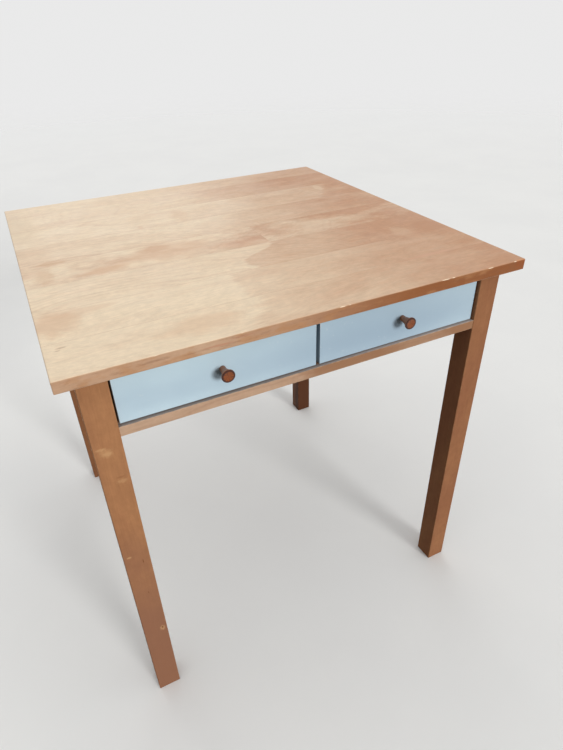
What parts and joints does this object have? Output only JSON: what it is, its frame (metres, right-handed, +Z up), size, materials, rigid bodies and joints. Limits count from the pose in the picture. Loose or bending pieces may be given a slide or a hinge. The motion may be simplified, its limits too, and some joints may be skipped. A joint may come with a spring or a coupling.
{
  "type": "kitchen table with drawers",
  "caption": "Square wooden kitchen table on straight legs, with side-by-side drawers that slide out under the overhanging top.",
  "frame": {"origin": "on the floor, under the middle of the top", "axes": "+X to the right along the drawer side, +Y from the drawer side to the back, +Z up"},
  "size_m": [0.74, 0.74, 0.743],
  "materials": {
    "birch_top": "satin lacquer",
    "frame_wood": "satin stain",
    "strip_wood": "bare sawn",
    "drawer_wood": "bare planed",
    "thin_board": "smooth board",
    "blue_paint": "satin paint",
    "stained_knob": "dark stain",
    "zinc_screws": "zinc"
  },
  "bodies": {
    "frame": {"back_apron": "frame_wood", "back_left_leg": "frame_wood", "back_right_leg": "frame_wood", "centre_guide": "strip_wood", "centre_kicker": "strip_wood", "centre_runner": "strip_wood", "front_left_leg": "frame_wood", "front_right_leg": "frame_wood", "guide_screws": "zinc_screws", "kicker_screws": "zinc_screws", "left_apron": "frame_wood", "left_drawer_stop": "strip_wood", "left_guide": "strip_wood", "left_kicker": "strip_wood", "left_runner": "strip_wood", "lower_front_rail": "frame_wood", "right_apron": "frame_wood", "right_drawer_stop": "strip_wood", "right_guide": "strip_wood", "right_kicker": "strip_wood", "right_runner": "strip_wood", "runner_screws": "zinc_screws", "stop_screws": "zinc_screws", "tabletop": "birch_top", "top_screws": "zinc_screws", "upper_front_rail": "strip_wood"},
    "left_drawer": {"left_drawer_back": "drawer_wood", "left_drawer_bottom": "thin_board", "left_drawer_bottom_screws": "zinc_screws", "left_drawer_front": "blue_paint", "left_drawer_knob": "stained_knob", "left_drawer_knob_bolt": "zinc_screws", "left_drawer_left_side": "drawer_wood", "left_drawer_right_side": "drawer_wood"},
    "right_drawer": {"right_drawer_back": "drawer_wood", "right_drawer_bottom": "thin_board", "right_drawer_bottom_screws": "zinc_screws", "right_drawer_front": "blue_paint", "right_drawer_knob": "stained_knob", "right_drawer_knob_bolt": "zinc_screws", "right_drawer_left_side": "drawer_wood", "right_drawer_right_side": "drawer_wood"}
  },
  "joints": [
    {"name": "left_drawer_slide", "type": "slide", "parent": "frame", "child": "left_drawer", "axis": [0, -1, 0], "range_m": [0, 0.4]},
    {"name": "right_drawer_slide", "type": "slide", "parent": "frame", "child": "right_drawer", "axis": [0, -1, 0], "range_m": [0, 0.4]}
  ]
}
